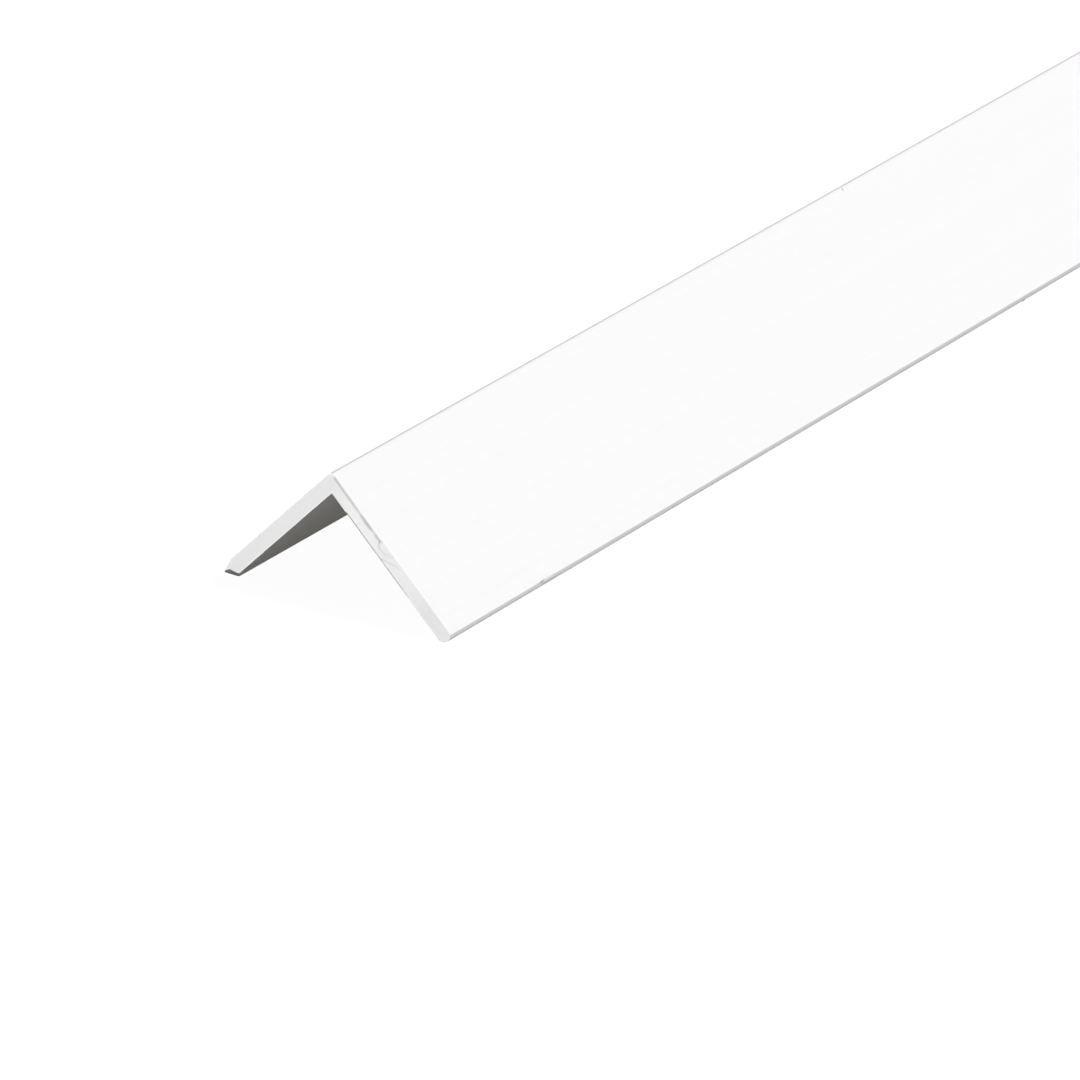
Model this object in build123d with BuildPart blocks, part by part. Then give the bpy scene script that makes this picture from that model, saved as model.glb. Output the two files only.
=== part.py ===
from build123d import *
from math import sqrt
import os

# One straight length of white rigid-plastic angle, extruded as an L with equal legs.
# It stands on the rounded tips of its legs with the ridge up, as it lies unheld on a floor.
# Millimetres: X runs along the length, Z is up, and the origin is on the floor below the middle.

# Driving dimensions
length = 1000.0  # stock length, cut square at both ends
leg_width = 25.0  # each leg, measured over the ridge
wall = 2.0  # thickness of both legs
ridge_radius = 0.5  # outer corner between the legs
root_radius = 0.2  # inner corner between the legs
arris_setback = 0.36  # outer corner of a tip, back from the tip's end
arris_radius = 0.15  # outer corner of a tip
nose_radius = 0.5  # where a tip's leaning face turns square to the leg

# A tip leans over the outer part of the wall and rounds off to the inner face by half the wall.
lean_depth = 0.3 * wall
tip_radius = wall / 2

# Both legs slope at 45 degrees, and the rounds of their tips touch the floor.
ridge_height = leg_width / sqrt(2) + tip_radius

# The section is drawn from the sharp ridge, with the near leg along x and the far leg along y.
near_leg_direction = (0, -1, -1)
section_plane = Plane(
    origin=(-length / 2, 0, ridge_height),
    x_dir=near_leg_direction,
    z_dir=(1, 0, 0),
)

# Corners of the near leg's tip and of the whole section, each with its radius
near_tip = [
    (leg_width - arris_setback, 0, arris_radius),
    (leg_width, lean_depth, nose_radius),
    (leg_width, wall, tip_radius),
]
far_tip = [(y, x, radius) for x, y, radius in reversed(near_tip)]
corners = [(0, 0, ridge_radius), *near_tip, (wall, wall, root_radius), *far_tip]

with BuildPart() as angle_trim:
    with BuildSketch(section_plane):
        with BuildLine():
            FilletPolyline(
                [(x, y) for x, y, radius in corners],
                radius=[radius for x, y, radius in corners],
                close=True,
            )
        make_face()
    extrude(amount=length)

angle_trim.part.label = "angle_trim"
os.makedirs("parts", exist_ok=True)
export_step(angle_trim.part, "parts/angle_trim.step")
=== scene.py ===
import math
import bpy
import bmesh
from mathutils import Matrix, Vector
from mathutils.geometry import interpolate_bezier, intersect_point_line


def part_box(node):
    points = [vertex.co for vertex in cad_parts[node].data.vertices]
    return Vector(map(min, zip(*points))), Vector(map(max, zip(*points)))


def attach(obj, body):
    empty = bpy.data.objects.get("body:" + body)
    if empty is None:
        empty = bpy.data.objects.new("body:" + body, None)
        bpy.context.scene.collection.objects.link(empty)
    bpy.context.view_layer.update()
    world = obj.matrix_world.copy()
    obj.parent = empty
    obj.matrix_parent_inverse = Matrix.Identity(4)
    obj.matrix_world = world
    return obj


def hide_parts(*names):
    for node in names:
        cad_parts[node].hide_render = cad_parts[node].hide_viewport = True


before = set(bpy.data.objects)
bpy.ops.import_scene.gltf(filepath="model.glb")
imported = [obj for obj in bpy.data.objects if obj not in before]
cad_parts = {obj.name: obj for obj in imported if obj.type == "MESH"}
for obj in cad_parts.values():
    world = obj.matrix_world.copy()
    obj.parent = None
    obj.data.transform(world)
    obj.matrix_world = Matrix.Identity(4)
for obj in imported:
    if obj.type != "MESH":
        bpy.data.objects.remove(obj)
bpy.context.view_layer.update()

low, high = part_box("angle_trim")
mm = 0.001
touch = 0.001  # mm, places nearer than this are one place
skinSlot = 0  # materials of the trim
sawnSlot = 1

# The section is worked in millimetres from the sharp ridge at the near end:
# x along the stock, y down the near leg, z down the far leg.
section = dict(
    length=(high.x - low.x) / mm,
    legWidth=25.0,
    wall=2.0,
    ridgeRadius=0.5,
    rootRadius=0.2,
    arrisSetback=0.36,  # outer corner of a tip, back from the tip's end
    arrisRadius=0.15,
    leanDepth=0.6,  # how far a tip's leaning face goes into the wall
    noseRadius=0.5,
    tipRadius=1.0,  # inner corner of a tip
    turn=math.radians(-135),  # about x, lays the two legs at 45 degrees under the ridge
)
ridgeHeight = section["legWidth"] * math.sqrt(0.5) + section["tipRadius"]
nearRidge = Vector((low.x, 0, low.z + ridgeHeight * mm))
sectionTurn = Matrix.Rotation(section["turn"], 3, "X")
sectionToFrame = Matrix.LocRotScale(nearRidge, sectionTurn, Vector((mm, mm, mm)))
square = math.pi / 2
leanTurn = math.atan2(section["leanDepth"], section["arrisSetback"])


class Wire:  # one socket of a node tree, so that shading reads as sums and products
    def __init__(self, tree, socket=None):
        self.tree = tree
        self.socket = socket

    def node(self, kind, settings, values, output=0):
        made = self.tree.nodes.new(kind)
        for name, setting in settings.items():
            setattr(made, name, setting)
        for name, value in values.items():
            if isinstance(value, Wire):
                self.tree.links.new(value.socket, made.inputs[name])
            else:
                made.inputs[name].default_value = value
        return Wire(self.tree, made.outputs[output] if made.outputs else None)

    def beside(self, output):  # another output of the same node
        return Wire(self.tree, self.socket.node.outputs[output])

    def maths(self, operation, *terms):
        return self.node("ShaderNodeMath", {"operation": operation}, dict(enumerate(terms)))

    def __add__(self, other):
        return self.maths("ADD", self, other)

    def __sub__(self, other):
        return self.maths("SUBTRACT", self, other)

    def __rsub__(self, other):
        return self.maths("SUBTRACT", other, self)

    def __mul__(self, other):
        return self.maths("MULTIPLY", self, other)

    __radd__ = __add__
    __rmul__ = __mul__

    def step(self, start, end):  # 0 before start, 1 after end, smooth between
        limits = {"Value": self, "From Min": start, "From Max": end}
        return self.node("ShaderNodeMapRange", {"interpolation_type": "SMOOTHSTEP"}, limits)

    def tint(self, first, second):  # a colour between two, by this factor
        colours = {0: self, 6: first, 7: second}  # the colour sockets of a Mix node
        return self.node("ShaderNodeMix", {"data_type": "RGBA"}, colours, 2)

    def vectorMaths(self, operation, other, output):
        return self.node("ShaderNodeVectorMath", {"operation": operation}, {0: self, 1: other}, output)

    def stretched(self, scale):  # a vector times three factors
        return self.vectorMaths("MULTIPLY", scale, "Vector")

    def towards(self, direction):  # how far a place lies along a direction
        return self.vectorMaths("DOT_PRODUCT", direction, "Value")

    def gapTo(self, place):  # distance from a fixed place
        return self.vectorMaths("DISTANCE", place, "Value")

    def marks(self, name):  # a mask that the mesh carries
        return self.node("ShaderNodeAttribute", {"attribute_name": name}, {}, "Fac")

    def noise(self, detail):
        return self.node("ShaderNodeTexNoise", {}, {"Vector": self, "Scale": 1.0, "Detail": detail})

    def bump(self, strength, distance):
        values = {"Strength": strength, "Distance": distance, "Height": self}
        return self.node("ShaderNodeBump", {}, values)


def grey(value):
    return (value, value, value, 1.0)


def startMaterial(name):
    material = bpy.data.materials.new(name)
    material.use_nodes = True
    material.node_tree.nodes.clear()
    return material, Wire(material.node_tree)


def sectionPlace(wire):  # millimetres in the section's own axes
    objectPlace = wire.node("ShaderNodeTexCoord", {}, {}, "Object")
    turn = (section["turn"], 0, 0)
    values = {"Vector": objectPlace, "Location": nearRidge, "Rotation": turn, "Scale": (mm, mm, mm)}
    return wire.node("ShaderNodeMapping", {"vector_type": "TEXTURE"}, values)


def plasticFinish(wire, colour, roughness, bump, specular):
    values = {"Base Color": colour, "Roughness": roughness, "Specular IOR Level": specular, "Normal": bump}
    finish = wire.node("ShaderNodeBsdfPrincipled", {}, values)
    wire.node("ShaderNodeOutputMaterial", {}, {"Surface": finish})


noiseMiddle = 0.5
noiseBand = (0.3, 0.7)  # the part of a noise over which one colour turns into another

# Satin skin of the extruded faces
skin = dict(
    colour=(0.900, 0.8945, 0.900, 1.0),
    streakColour=(0.890, 0.8845, 0.890, 1.0),
    streak=(0.004, 1.1, 1.1),  # per mm: long along the stock, fine across it
    streakDetail=3.0,
    grain=(0.6, 5.0, 5.0),
    grainDetail=2.0,
    roughness=0.42,
    roughnessRange=0.10,
    specular=0.35,
    bump=0.05,
    grainHeight=0.002 * mm,
    ridgeShadeColour=(0.53, 0.52, 0.525, 1.0),  # painted shade along the ridge, where its rounding turns away from the key lamp
    ridgeShadeSide=(0, 1, 0.25),  # more on its far side, which is turned further from the key lamp
    ridgeShadeBand=(0.12, 0.30),
    # dark mauve of the fleck and the pit, and painted shade on the tip's lower lip
    grimeAndShadeColour=(0.30, 0.265, 0.275, 1.0),
    speckPlace=(115.3, 0.6, 0.0),  # a grey fleck close under the ridge
    speckRadius=0.29,
    speckGrime=0.7,
)


def satinSkin():
    material, wire = startMaterial("satin_skin")
    place = sectionPlace(wire)
    streak = place.stretched(skin["streak"]).noise(skin["streakDetail"])
    grain = place.stretched(skin["grain"]).noise(skin["grainDetail"])
    speck = skin["speckGrime"] * (1 - place.gapTo(skin["speckPlace"]).step(0, skin["speckRadius"]))
    colour = streak.step(*noiseBand).tint(skin["colour"], skin["streakColour"])
    # painted shade along the ridge
    ridgeShade = 1 - place.towards(skin["ridgeShadeSide"]).step(*skin["ridgeShadeBand"])
    colour = ridgeShade.tint(colour, skin["ridgeShadeColour"])
    colour = speck.tint(colour, skin["grimeAndShadeColour"])
    # grime in the pit, and painted shade on the tip's lower lip
    colour = wire.marks("grimeAndShade").tint(colour, skin["grimeAndShadeColour"])
    roughness = skin["roughness"] + (streak - noiseMiddle) * skin["roughnessRange"]
    bump = grain.bump(skin["bump"], skin["grainHeight"])
    plasticFinish(wire, colour, roughness, bump, skin["specular"])
    return material


# Sawn faces of the two ends, and the break in the far leg's tip
sawn = dict(
    colour=(0.850, 0.850, 0.855, 1.0),
    toothColour=(0.832, 0.832, 0.837, 1.0),
    paintedLightColour=(0.930, 0.938, 0.946, 1.0),  # painted highlights and a painted lighter band on the near end
    # grime in the saw marks, and painted shade in the groove
    grimeAndShadeColour=(0.19, 0.135, 0.13, 1.0),
    # painted shade: the line by the near leg's inner edge, the notch and the break
    paintedShadeColour=(0.17, 0.16, 0.15, 1.0),
    toothMarks=(1.0, 1.6, 7.0),  # per mm
    toothDetail=3.0,
    roughness=0.62,
    roughnessRange=0.2,
    specular=0.3,
    bump=0.1,
    toothHeight=0.01 * mm,
)


def sawnEnd():
    material, wire = startMaterial("sawn_end")
    place = sectionPlace(wire)
    teeth = place.stretched(sawn["toothMarks"]).noise(sawn["toothDetail"])
    colour = teeth.step(*noiseBand).tint(sawn["colour"], sawn["toothColour"])
    # painted highlights on the ridge corner and the far leg's inner edge, and a painted lighter band
    colour = wire.marks("pale").tint(colour, sawn["paintedLightColour"])
    # grime of the saw marks, the smear and the fleck, and painted shade in the groove
    colour = wire.marks("grimeAndShade").tint(colour, sawn["grimeAndShadeColour"])
    # painted shade by the inner edge, in the notch and on the break
    colour = wire.marks("paintedShade").tint(colour, sawn["paintedShadeColour"])
    roughness = sawn["roughness"] + (teeth - noiseMiddle) * sawn["roughnessRange"]
    bump = teeth.bump(sawn["bump"], sawn["toothHeight"])
    plasticFinish(wire, colour, roughness, bump, sawn["specular"])
    return material


# The trim itself: the section is meshed, drawn out along the stock, and then marked
trim = dict(
    cell=0.5,  # mm between the mesh lines of the section
    tipLines=(24.66, 24.70, 24.74, 24.78, 24.82, 24.86, 24.90, 24.95),  # closer ones at the tips
    lineSnap=0.004,  # a mesh line moves this far to a corner that is there already
    tipZone=1.5,  # how far back from the end of a tip its knocks reach
    endCuts=7,  # finer mesh on the near end, inside each cell
    nearStations=(0.15, 0.4, 0.8, 1.2, 1.6, 2.0, 2.6, 3.4, 5.0, 8.0, 13.0, 18.0),
    bodyStations=(30, 60, 100, 200, 300, 400, 500, 600, 700, 800, 900, 960, 990, 997, 999, 999.6),
    dieLines=((2.3, 0.003, 0.4), (3.7, 0.003, 2.0), (7.9, 0.004, 1.1)),  # wave, height, start
    order=(10000, 100, 1),  # the mesh is sorted along this, so that every run gives the same
    sharpAngle=math.radians(35),
)
# Knocks on the near leg's tip: places along the stock, and turns from the leg's outer face
scuff = dict(
    start=20.0,
    onset=(-0.1, 0.15),  # about the start
    length=4.2,
    zone=10.0,  # either way from its start, past which nothing of it shows
    deep=0.075,  # where it starts
    turn=math.radians(37),
    pitDown=0.18,  # down the leaning face of the tip
    pitDeep=0.08,
    pitHalf=0.16,
    pitLength=0.36,
    pitGrime=1.0,
    lipDown=0.58,  # painted shade along the lip below it, where the tip faces down
    lipHalf=0.08,
    lipLength=5.0,
    lipShade=0.7,
    station=0.1,  # between the mesh lines across it
    moreStations=4,  # before and after it
)
burr = dict(
    place=133.95,
    reach=0.12,
    high=0.10,
    turn=math.radians(97),
    spread=math.radians(14),
    zone=1.0,
    station=0.06,
    moreStations=6,
)

# What the saw left on the near end, and the painted shade and painted highlights there, in mm along a leg
# and in from its outer face
sawMarks = dict(
    groove=(  # along, painted shade in the groove, in, half its width
        (0.6, 0.0, 0.25, 0.16), (0.9, 0.50, 0.25, 0.16), (2.0, 0.46, 0.27, 0.17), (5.4, 0.42, 0.30, 0.17),
        (6.0, 0.28, 0.32, 0.18), (6.5, 0.48, 0.34, 0.20), (7.6, 0.58, 0.39, 0.24), (8.5, 0.50, 0.37, 0.22),
        (9.0, 0.26, 0.27, 0.18), (9.5, 0.50, 0.34, 0.20), (10.4, 0.42, 0.34, 0.20), (10.8, 0.0, 0.34, 0.20)),
    grooveDeep=0.08,
    arcs=(
        dict(path=((10.35, 0.45), (10.7, 1.25), (11.6, 1.25), (13.0, 0.15)), grimeAndShade=(0.36, 0.10)),
        dict(path=((12.1, 1.8), (12.8, 1.35), (13.3, 0.9), (14.6, 0.4)), grimeAndShade=(0.24, 0.12)),
        dict(path=((6.95, 1.9), (7.0, 1.7), (7.0, 1.4), (7.05, 1.2)), grimeAndShade=(0.14, 0.10)),
    ),
    arcHalf=0.11,
    arcDeep=0.1,
    arcReach=0.5,  # past its two ends
    arcPoints=24,
    edge=((4.7, 0.0), (5.0, 0.95), (10.5, 0.95), (11.2, 0.75), (16.5, 0.75), (18.5, 0.0)),  # along, painted shade by the inner edge
    edgeHalf=0.13,
    smear=((18.0, 0.0), (21.0, 0.04), (23.0, 0.02), (25.0, 0.0)),
    # painted lighter band along the near leg's end
    pale=((1.0, 0.0), (4.0, 0.6), (6.5, 1.0), (9.0, 1.0), (12.0, 0.5), (16.0, 0.5), (21.0, 0.0)),
    # painted highlight along the far leg's inner edge
    rimHalf=0.16,
    rimHighlight=0.9,
    fleck=(15.55, 0.1),
    fleckRadius=0.12,
    fleckGrime=0.25,
    cornerReach=0.8,  # blunted corner of the ridge, with a painted highlight on it
    cornerDeep=0.16,
)

# Corner broken off the far leg's tip
chip = dict(
    breaks=(  # each face of the break goes through three points; the last number is painted shade on that face
        dict(points=((0, 0, 21.45), (0, 0.57, 23.4), (2.2, 0, 24.0)), breakShade=0.0),
        dict(points=((0, 0.57, 23.4), (0, 1.83, 21.99), (2.3, 1.2, 24.9)), breakShade=1.0),
    ),
    corner=(0, 1, 25),  # a point of the corner that comes off
    reach=(4, 18),  # how far it may run along the stock, and from where along the leg
    snap=1e-5,
    notch=((0.57, 23.4), (0.80, 22.66), (1.83, 21.99)),  # bite in the sawn face above the break, sunk, with painted shade in it
    notchDeep=0.3,
    notchSoft=0.14,
)


def sortOf(geom, kind):
    return [item for item in geom if isinstance(item, kind)]


def eachOnce(items):  # in the order they come
    return list(dict.fromkeys(items))


def putInOrder(bm):  # extruding and filling leave edges and faces in another order each run
    order = Vector(trim["order"])
    for parts in (bm.edges, bm.faces):
        parts.sort(key=lambda part: sum(v.co.dot(order) for v in part.verts) / len(part.verts))


def meshSection(bm):
    leg = section["legWidth"]
    wall = section["wall"]
    shoulder = leg - section["arrisSetback"]
    lean = section["leanDepth"]
    nearCorners = ((0, 0), (shoulder, 0), (leg, lean), (leg, wall))
    farCorners = ((wall, wall), (wall, leg), (lean, leg), (0, shoulder))
    made = [bm.verts.new((0, y, z)) for y, z in nearCorners + farCorners]
    bm.faces.new(made)
    rounds = (  # corners, radius, turn, segments
        ((0,), section["ridgeRadius"], square, 8),
        ((4,), section["rootRadius"], square, 4),
        ((1, 7), section["arrisRadius"], leanTurn, 8),
        ((2, 6), section["noseRadius"], square - leanTurn, 4),
        ((3, 5), section["tipRadius"], square, 12),
    )
    for corners, radius, turn, segments in rounds:
        bmesh.ops.bevel(
            bm, geom=[made[corner] for corner in corners], offset=radius * math.tan(turn / 2),
            offset_type="ABSOLUTE", segments=segments, profile=0.5, affect="VERTICES", material=-1)
    bmesh.ops.remove_doubles(bm, verts=bm.verts[:], dist=touch)
    cells = [line * trim["cell"] for line in range(1, round(leg / trim["cell"]))]
    for axis in ((0, 1, 0), (0, 0, 1)):
        for line in (*cells, *trim["tipLines"]):
            bmesh.ops.bisect_plane(
                bm, geom=bm.verts[:] + bm.edges[:] + bm.faces[:], dist=trim["lineSnap"],
                plane_co=Vector(axis) * line, plane_no=axis)


def dieLine(across):
    turns = [(height, across / wave * math.tau + start) for wave, height, start in trim["dieLines"]]
    return sum(height * math.sin(turn) for height, turn in turns)


def waveFaces(bm):  # faint lines that the die leaves along the flat faces
    wall = section["wall"]
    flatStart = section["ridgeRadius"] * 2
    flatEnd = section["legWidth"] - section["tipRadius"]
    for v in bm.verts:
        y, z = v.co.yz
        if flatStart < y < flatEnd and min(abs(z), abs(z - wall)) < touch:
            v.co.z += dieLine(y) * (1 if z < wall / 2 else -1)
        elif flatStart < z < flatEnd and min(abs(y), abs(y - wall)) < touch:
            v.co.y += dieLine(-z) * (1 if y < wall / 2 else -1)


def drawOut(bm):
    more = scuff["moreStations"]
    scuffCount = round(scuff["length"] / scuff["station"])
    atScuff = [scuff["start"] + step * scuff["station"] for step in range(-more, scuffCount + more)]
    more = burr["moreStations"]
    atBurr = [burr["place"] + step * burr["station"] for step in range(-more, more + 1)]
    stations = [*trim["nearStations"], *atScuff, *atBurr, *trim["bodyStations"], section["length"]]
    geom = bm.verts[:] + bm.edges[:] + bm.faces[:]
    here = 0.0
    for station in sorted(stations):
        geom = bmesh.ops.extrude_face_region(bm, geom=geom)["geom"]
        bmesh.ops.translate(bm, verts=sortOf(geom, bmesh.types.BMVert), vec=(station - here, 0, 0))
        here = station
    putInOrder(bm)


def smoothly(value, start, end):
    share = min(max((value - start) / (end - start), 0.0), 1.0)
    return share * share * (3 - 2 * share)


def bell(value, half):
    return math.exp(-((value / half) ** 2))


def between(along, knots):  # values at one place, straight between those of the knots
    for first, last in zip(knots, knots[1:]):
        if first[0] <= along < last[0]:
            share = (along - first[0]) / (last[0] - first[0])
            return [a + (b - a) * share for a, b in zip(first[1:], last[1:])]
    return [0.0] * (len(knots[0]) - 1)


def fromCurve(point, curve):
    gaps = []
    for first, last in zip(curve, curve[1:]):
        share = intersect_point_line(point, first, last)[1]
        nearest = first.lerp(last, min(max(share, 0.0), 1.0))
        gaps.append((point - nearest).length)
    return min(gaps)


def markNearLeg(along, inward, curves):
    groove, grooveIn, grooveHalf = between(along, sawMarks["groove"])
    # painted shade in the groove
    grimeAndShade = groove * bell(inward - grooveIn, grooveHalf) if groove else 0.0
    deep = grimeAndShade * sawMarks["grooveDeep"]
    point = Vector((along, inward, 0))
    for arc, curve in zip(sawMarks["arcs"], curves):
        start, end = curve[0].x, curve[-1].x
        if start - sawMarks["arcReach"] < along < end + sawMarks["arcReach"]:
            first, last = arc["grimeAndShade"]
            share = min(max((along - start) / (end - start), 0.0), 1.0)
            mark = bell(fromCurve(point, curve), sawMarks["arcHalf"])
            mark *= first + (last - first) * share
            grimeAndShade += mark
            deep += mark * sawMarks["arcDeep"]
    edge, = between(along, sawMarks["edge"])
    smear, = between(along, sawMarks["smear"])
    pale, = between(along, sawMarks["pale"])
    # painted shade along the inner edge
    paintedShade = edge * bell(section["wall"] - inward, sawMarks["edgeHalf"])
    return deep, min(grimeAndShade + smear, 1.0), pale, paintedShade


def beyond(point, first, last):  # how far a point of the end lies outside a line, towards the tip
    side = last - first
    return (side.y * (first.x - point.x) + side.x * (point.y - first.y)) / side.length


def markFarLeg(along, inward):
    fleckAlong, fleckIn = sawMarks["fleck"]
    fleck = bell(math.hypot(along - fleckAlong, inward - fleckIn), sawMarks["fleckRadius"])
    # painted highlight along the inner edge
    pale = sawMarks["rimHighlight"] * bell(section["wall"] - inward, sawMarks["rimHalf"])
    point = Vector((inward, along))
    knots = [Vector(knot) for knot in chip["notch"]]
    bite = min(beyond(point, first, last) for first, last in zip(knots, knots[1:]))
    # the notch is sunk and gets painted shade
    notch = smoothly(bite, 0, chip["notchSoft"])
    return notch * chip["notchDeep"], sawMarks["fleckGrime"] * fleck, pale, notch


def splitManySided(bm):  # faces with more than four sides, apart from those of the far end
    bodyFaces = [f for f in bm.faces if all(v.co.x < section["length"] for v in f.verts)]
    manySided = [f for f in bodyFaces if len(f.verts) > 4]
    bmesh.ops.triangulate(bm, faces=manySided, quad_method="BEAUTY", ngon_method="BEAUTY")


def cutNearEnd(bm):
    faces = [f for f in bm.faces if all(v.co.x < touch for v in f.verts)]
    edges = eachOnce(e for f in faces for e in f.edges)
    bmesh.ops.subdivide_edges(bm, edges=edges, cuts=trim["endCuts"], use_grid_fill=True)
    splitManySided(bm)
    layers = [bm.verts.layers.float.new(name) for name in ("grimeAndShade", "pale", "paintedShade")]
    curves = []
    for arc in sawMarks["arcs"]:
        knots = [Vector((along, inward, 0)) for along, inward in arc["path"]]
        curves.append(interpolate_bezier(*knots, sawMarks["arcPoints"]))
    for v in bm.verts:
        if v.co.x > touch:
            continue
        y, z = v.co.yz
        deep, grimeAndShade, pale, paintedShade = markNearLeg(y, z, curves) if y > z else markFarLeg(z, y)
        # the ridge corner is blunted and gets a painted highlight
        knock = 1 - smoothly(math.hypot(y, z), 0, sawMarks["cornerReach"])
        v.co.x += deep + sawMarks["cornerDeep"] * knock
        for layer, amount in zip(layers, (grimeAndShade, max(pale, knock), paintedShade)):
            v[layer] = amount


def breakTip(bm):
    paintedShadeLayer = bm.verts.layers.float["paintedShade"]
    alongEnd, legStart = chip["reach"]
    for face in chip["breaks"]:
        first, second, third = (Vector(point) for point in face["points"])
        normal = (second - first).cross(third - first).normalized()
        if normal.dot(Vector(chip["corner"]) - first) < 0:
            normal.negate()
        faces = [f for f in bm.faces if all(v.co.x < alongEnd and v.co.z > legStart for v in f.verts)]
        edges = eachOnce(e for f in faces for e in f.edges)
        verts = eachOnce(v for f in faces for v in f.verts)
        cut = bmesh.ops.bisect_plane(
            bm, geom=verts + edges + faces, dist=chip["snap"],
            plane_co=first, plane_no=normal, clear_outer=True)
        rim = sortOf(cut["geom_cut"], bmesh.types.BMEdge)
        for made in bmesh.ops.contextual_create(bm, geom=rim)["faces"]:
            made.material_index = sawnSlot
            for v in made.verts:
                # painted shade on the downward face of the break
                v[paintedShadeLayer] = max(v[paintedShadeLayer], face["breakShade"])
        putInOrder(bm)
    broken = [v for v in bm.verts if v.co.x < alongEnd and v.co.z > legStart]
    bmesh.ops.remove_doubles(bm, verts=broken, dist=touch)
    splitManySided(bm)


def aroundTip(turn):  # direction out of the near leg, turned from its outer face towards its end
    return Vector((0, math.sin(turn), -math.cos(turn)))


def knockTip(bm):
    grimeAndShadeLayer = bm.verts.layers.float["grimeAndShade"]
    leg = section["legWidth"]
    radius = section["arrisRadius"]
    corner = Vector((0, leg - section["arrisSetback"], 0))
    arris = corner + Vector((0, -radius * math.tan(leanTurn / 2), radius))
    tip = Vector((0, leg - section["tipRadius"], section["tipRadius"]))
    out = aroundTip(scuff["turn"])
    leanOut = aroundTip(leanTurn)
    leanDown = aroundTip(leanTurn + square)
    pit = corner + leanDown * scuff["pitDown"]
    lip = corner + leanDown * scuff["lipDown"]
    for v in bm.verts:
        fromScuff = v.co.x - scuff["start"]
        fromBurr = v.co.x - burr["place"]
        atKnock = abs(fromScuff) <= scuff["zone"] or abs(fromBurr) <= burr["zone"]
        if v.co.y < leg - trim["tipZone"] or not atKnock:
            continue
        begun = smoothly(fromScuff, *scuff["onset"])
        taper = begun * max(1 - fromScuff / scuff["length"], 0.0)
        proud = (v.co - arris).dot(out) - (radius - scuff["deep"] * taper)
        if taper > 0 and proud > 0:
            v.co -= out * proud
        inPit = bell((v.co - pit).yz.length, scuff["pitHalf"]) * bell(fromScuff, scuff["pitLength"])
        v.co -= leanOut * scuff["pitDeep"] * inPit
        onLip = begun * (1 - smoothly(fromScuff, 0, scuff["lipLength"]))
        onLip *= bell((v.co - lip).yz.length, scuff["lipHalf"])
        # grime in the pit, and painted shade along the lip
        v[grimeAndShadeLayer] += scuff["pitGrime"] * inPit + scuff["lipShade"] * onLip
        fromTip = v.co - tip
        turn = math.atan2(fromTip.y, -fromTip.z)
        raised = bell(fromBurr, burr["reach"]) * bell(turn - burr["turn"], burr["spread"])
        v.co += aroundTip(turn) * burr["high"] * raised


# UV map for baked colours: the near end and the first stretch get most room
bakeMap = dict(
    name="OFBake",
    margin=0.008,  # beside each strip
    widths=dict(nearEnd=0.12, farEnd=0.03, outer=0.16, inner=0.16),  # of each leg's strip
    stretches=((0, 0.0), (30, 0.45), (200, 0.75), (1001, 1.0)),  # along the stock and past it, along a strip
)


def layMap(bm):
    layer = bm.loops.layers.uv.new(bakeMap["name"])
    margin = bakeMap["margin"]
    starts = {}
    here = margin
    for name, width in bakeMap["widths"].items():
        for onFarLeg in (False, True):
            starts[name, onFarLeg] = here
            here += width + margin
    for face in bm.faces:
        normal = face.normal
        middle = face.calc_center_median()
        sawnFace = face.material_index == sawnSlot
        if sawnFace:
            name = "farEnd" if normal.x > 0 else "nearEnd"
            onFarLeg = middle.z > middle.y
        else:
            name = "inner" if normal.y + normal.z > 0 else "outer"
            onFarLeg = abs(normal.y) > abs(normal.z)
        for loop in face.loops:
            x, y, z = loop.vert.co
            down, inward = (z, y) if onFarLeg else (y, z)
            across = inward / section["wall"] if sawnFace else down / section["legWidth"]
            along = down / section["legWidth"] if sawnFace else between(x, bakeMap["stretches"])[0]
            u = starts[name, onFarLeg] + across * bakeMap["widths"][name]
            v = margin + along * (1 - 2 * margin)
            loop[layer].uv = (u, v)


def buildTrim():
    bm = bmesh.new()
    meshSection(bm)
    waveFaces(bm)
    drawOut(bm)
    bmesh.ops.recalc_face_normals(bm, faces=bm.faces[:])
    for face in bm.faces:
        x, y, z = (abs(part) for part in face.normal)
        face.material_index = sawnSlot if x > max(y, z) else skinSlot
    cutNearEnd(bm)
    knockTip(bm)
    breakTip(bm)
    bmesh.ops.recalc_face_normals(bm, faces=bm.faces[:])
    layMap(bm)
    for face in bm.faces:
        face.smooth = True
    openEdges = sum(not edge.is_manifold for edge in bm.edges)
    bmesh.ops.transform(bm, matrix=sectionToFrame, verts=bm.verts[:])
    mesh = bpy.data.meshes.new("angle_trim_stock")
    bm.to_mesh(mesh)
    bm.free()
    mesh.set_sharp_from_angle(angle=trim["sharpAngle"])
    for material in (satinSkin(), sawnEnd()):  # as skinSlot and sawnSlot count them
        mesh.materials.append(material)
    piece = bpy.data.objects.new("angle_trim_stock", mesh)
    bpy.context.collection.objects.link(piece)
    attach(piece, "root")
    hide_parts("angle_trim")
    print("trim:", len(mesh.vertices), "vertices,", len(mesh.polygons), "faces,", openEdges, "open edges")


buildTrim()

# Pale floor, white where the camera or a reflection sees it
floorLook = dict(
    halfWidth=20.0,
    pale=0.90,
    bounce=0.14,  # what it throws back on the trim
    fillColour=(1.0, 0.965, 0.88, 1.0),
    fill=0.084,  # share of its own light, on the trim
    glow=0.92,  # and as the camera sees it, so that shadows stay faint
    glowStrength=1.05,
)


def cameraRays(wire):
    return wire.node("ShaderNodeLightPath", {}, {}, "Is Camera Ray")


def seenRays(camera):  # rays that look at a thing, not those that light another by it
    return camera + camera.beside("Is Glossy Ray") + camera.beside("Is Transmission Ray")


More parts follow.
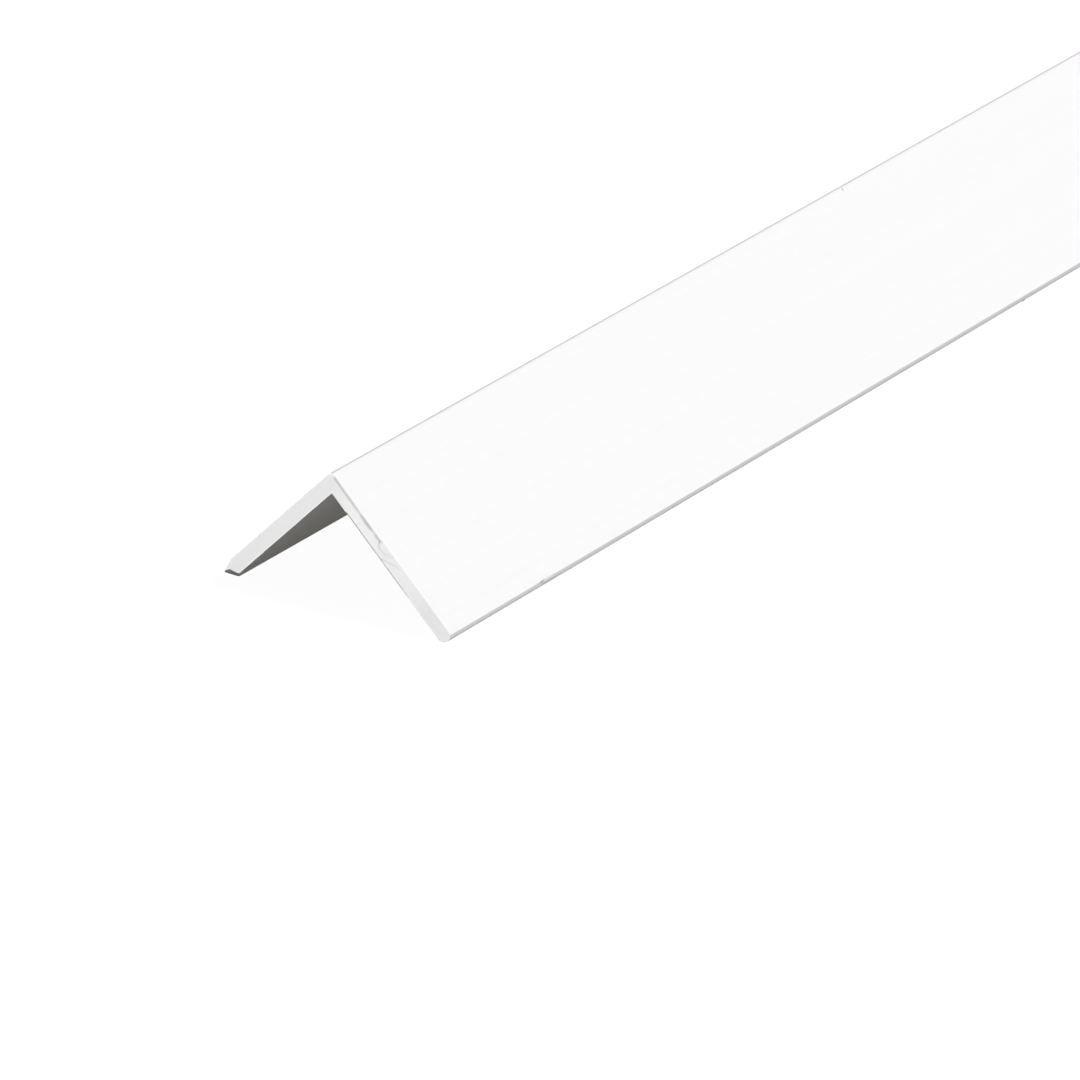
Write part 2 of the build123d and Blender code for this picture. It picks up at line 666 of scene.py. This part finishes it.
def buildFloor():
    bm = bmesh.new()
    bmesh.ops.create_grid(bm, x_segments=1, y_segments=1, size=floorLook["halfWidth"])
    bmesh.ops.translate(bm, verts=bm.verts[:], vec=(0, 0, low.z))
    mesh = bpy.data.meshes.new("floor")
    bm.to_mesh(mesh)
    bm.free()
    material, wire = startMaterial("pale_floor")
    camera = cameraRays(wire)
    seen = seenRays(camera)
    paint = seen.tint(grey(floorLook["bounce"]), grey(floorLook["pale"]))
    lit = wire.node("ShaderNodeBsdfDiffuse", {}, {"Color": paint})
    light = camera.tint(floorLook["fillColour"], grey(1.0))
    glow = wire.node("ShaderNodeEmission", {}, {"Color": light, "Strength": floorLook["glowStrength"]})
    share = floorLook["fill"] + camera * (floorLook["glow"] - floorLook["fill"])
    look = wire.node("ShaderNodeMixShader", {}, {0: share, 1: lit, 2: glow})
    wire.node("ShaderNodeOutputMaterial", {}, {"Surface": look})
    mesh.materials.append(material)
    floor = bpy.data.objects.new("floor", mesh)
    bpy.context.collection.objects.link(floor)
    print("floor laid at", low.z)


buildFloor()

# Soft studio light: broad lamps, so that the whole length is lit alike
lamps = dict(
    key=dict(towards=(0.15, -0.695, 0.705), strength=2.80, softness=16),
    nearEnd=dict(towards=(-0.998, 0.0, 0.06), strength=2.74, softness=12),
    back=dict(towards=(0.0, 0.99, 0.06), strength=3.20, softness=30),
    farEnd=dict(towards=(0.999, 0.0, 0.02), strength=2.60, softness=8),
)
ambient = 0.10


def buildLight():
    for name, lamp in lamps.items():
        sun = bpy.data.lights.new(name, "SUN")
        sun.energy = lamp["strength"]
        sun.angle = math.radians(lamp["softness"])
        holder = bpy.data.objects.new(name, sun)
        holder.rotation_euler = Vector(lamp["towards"]).to_track_quat("Z", "Y").to_euler()
        bpy.context.collection.objects.link(holder)
    world = bpy.data.worlds.new("studio")
    world.use_nodes = True
    world.node_tree.nodes.clear()
    wire = Wire(world.node_tree)
    seen = seenRays(cameraRays(wire))
    strength = ambient + seen * (1 - ambient)
    room = wire.node("ShaderNodeBackground", {}, {"Color": grey(1.0), "Strength": strength})
    wire.node("ShaderNodeOutputWorld", {}, {"Surface": room})
    bpy.context.scene.world = world
    print("lamps:", ", ".join(lamps))


buildLight()

# Camera at the photograph's viewing angle
view = dict(
    azimuth=math.radians(-56.122),
    elevation=math.radians(23.187),
    lens=352.14,
    sensor=36.0,
    picture=1080,  # pixels each way
    distance=1.2835,  # to the sharp ridge at the near end
    ridgePixel=(331.64, 471.65),  # where that corner stands in the picture
)


def buildCamera():
    turn, tilt = view["azimuth"], view["elevation"]
    back = Vector((math.sin(turn) * math.cos(tilt), -math.cos(turn) * math.cos(tilt), math.sin(tilt)))
    right = Vector((math.cos(turn), math.sin(turn), 0))
    up = back.cross(right)
    perPixel = view["distance"] * view["sensor"] / view["lens"] / view["picture"]
    ridgeX, ridgeY = view["ridgePixel"]
    aside = (ridgeX - view["picture"] / 2) * perPixel
    above = (view["picture"] / 2 - ridgeY) * perPixel
    place = nearRidge + back * view["distance"] - right * aside - up * above
    data = bpy.data.cameras.new("camera")
    data.lens = view["lens"]
    data.sensor_width = view["sensor"]
    camera = bpy.data.objects.new("camera", data)
    camera.matrix_world = Matrix.LocRotScale(place, Matrix((right, up, back)).transposed(), None)
    bpy.context.collection.objects.link(camera)
    bpy.context.scene.camera = camera
    print("camera at", tuple(place))


buildCamera()
bpy.context.scene.view_settings.view_transform = "Standard"
